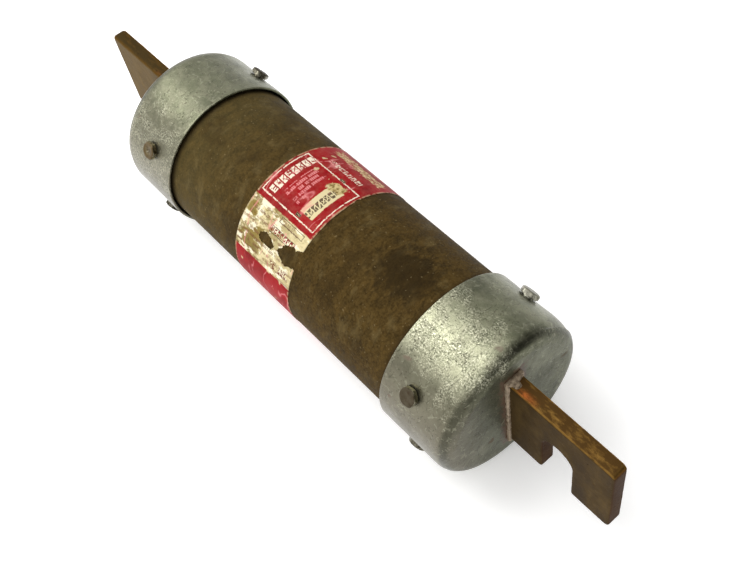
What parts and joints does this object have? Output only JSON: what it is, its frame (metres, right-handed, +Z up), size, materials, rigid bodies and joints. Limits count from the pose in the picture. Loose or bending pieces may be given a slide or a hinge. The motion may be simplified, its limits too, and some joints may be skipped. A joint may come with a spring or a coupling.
{
  "type": "cartridge fuse",
  "caption": "Knife-blade cartridge fuse with a fibre tube, metal end caps held by hex screws, a paper label, a rejection notch in one blade and a spring overload trip inside.",
  "frame": {"origin": "centre of the tube, on its axis, midway between the blade tips", "axes": "+X along the fuse towards the notched blade, +Z up with both blades on edge, +Y to the blades' back faces"},
  "size_m": [0.2954, 0.0664, 0.0665],
  "materials": {
    "vulcanised_fibre": "dark varnished vulcanised fibre, mottled and stained",
    "printed_paper": "red and cream printed paper, worn and torn",
    "zinc_plated_cap": "dull grey-green zinc, pitted and mottled",
    "tarnished_copper": "copper, tarnished dark brown",
    "screw_steel": "plated steel with rust bloom",
    "solder": "dull tin solder",
    "terminal_brass": "machined brass",
    "pin_steel": "drawn steel",
    "fibre_board": "pressed fibre board",
    "quartz_sand": "packed quartz sand",
    "element_copper": "bright rolled copper",
    "ceramic": "glazed ceramic",
    "mica": "pale mica sheet",
    "spring_steel": "oil-tempered spring wire"
  },
  "bodies": {
    "fuse_case": {"fibre_tube": "vulcanised_fibre", "paper_label": "printed_paper", "notched_end_cap": "zinc_plated_cap", "notched_knife_blade": "tarnished_copper", "notched_cap_screws": "screw_steel", "notched_solder_bead": "solder", "notched_terminal_block": "terminal_brass", "notched_blade_pins": "pin_steel", "notched_filling_plug": "terminal_brass", "notched_end_washer": "fibre_board", "notched_sand_filling": "quartz_sand", "notched_partition_disc": "fibre_board", "notched_short_circuit_strip_1": "element_copper", "notched_short_circuit_strip_2": "element_copper", "notched_short_circuit_strip_3": "element_copper", "notched_block_rivets": "element_copper", "notched_flange_rivets": "element_copper", "plain_end_cap": "zinc_plated_cap", "plain_knife_blade": "tarnished_copper", "plain_cap_screws": "screw_steel", "plain_solder_bead": "solder", "plain_terminal_block": "terminal_brass", "plain_blade_pins": "pin_steel", "plain_filling_plug": "terminal_brass", "plain_end_washer": "fibre_board", "plain_sand_filling": "quartz_sand", "plain_partition_disc": "fibre_board", "plain_short_circuit_strip_1": "element_copper", "plain_short_circuit_strip_2": "element_copper", "plain_short_circuit_strip_3": "element_copper", "plain_block_rivets": "element_copper", "plain_flange_rivets": "element_copper", "heat_absorber": "element_copper", "fusing_alloy": "solder", "collector_socket": "element_copper", "stop_bush": "ceramic", "fixed_spring_seat": "mica", "trigger_spring": "spring_steel", "chamber_liner": "fibre_board", "spacer_posts": "ceramic"},
    "trip_slider": {"trip_connector": "element_copper", "moving_spring_seat": "mica"}
  },
  "joints": [
    {"name": "overload_trip", "type": "slide", "parent": "fuse_case", "child": "trip_slider", "axis": [-1, 0, 0], "range_m": [0, 0.0078], "deforming": ["trigger_spring"]}
  ]
}
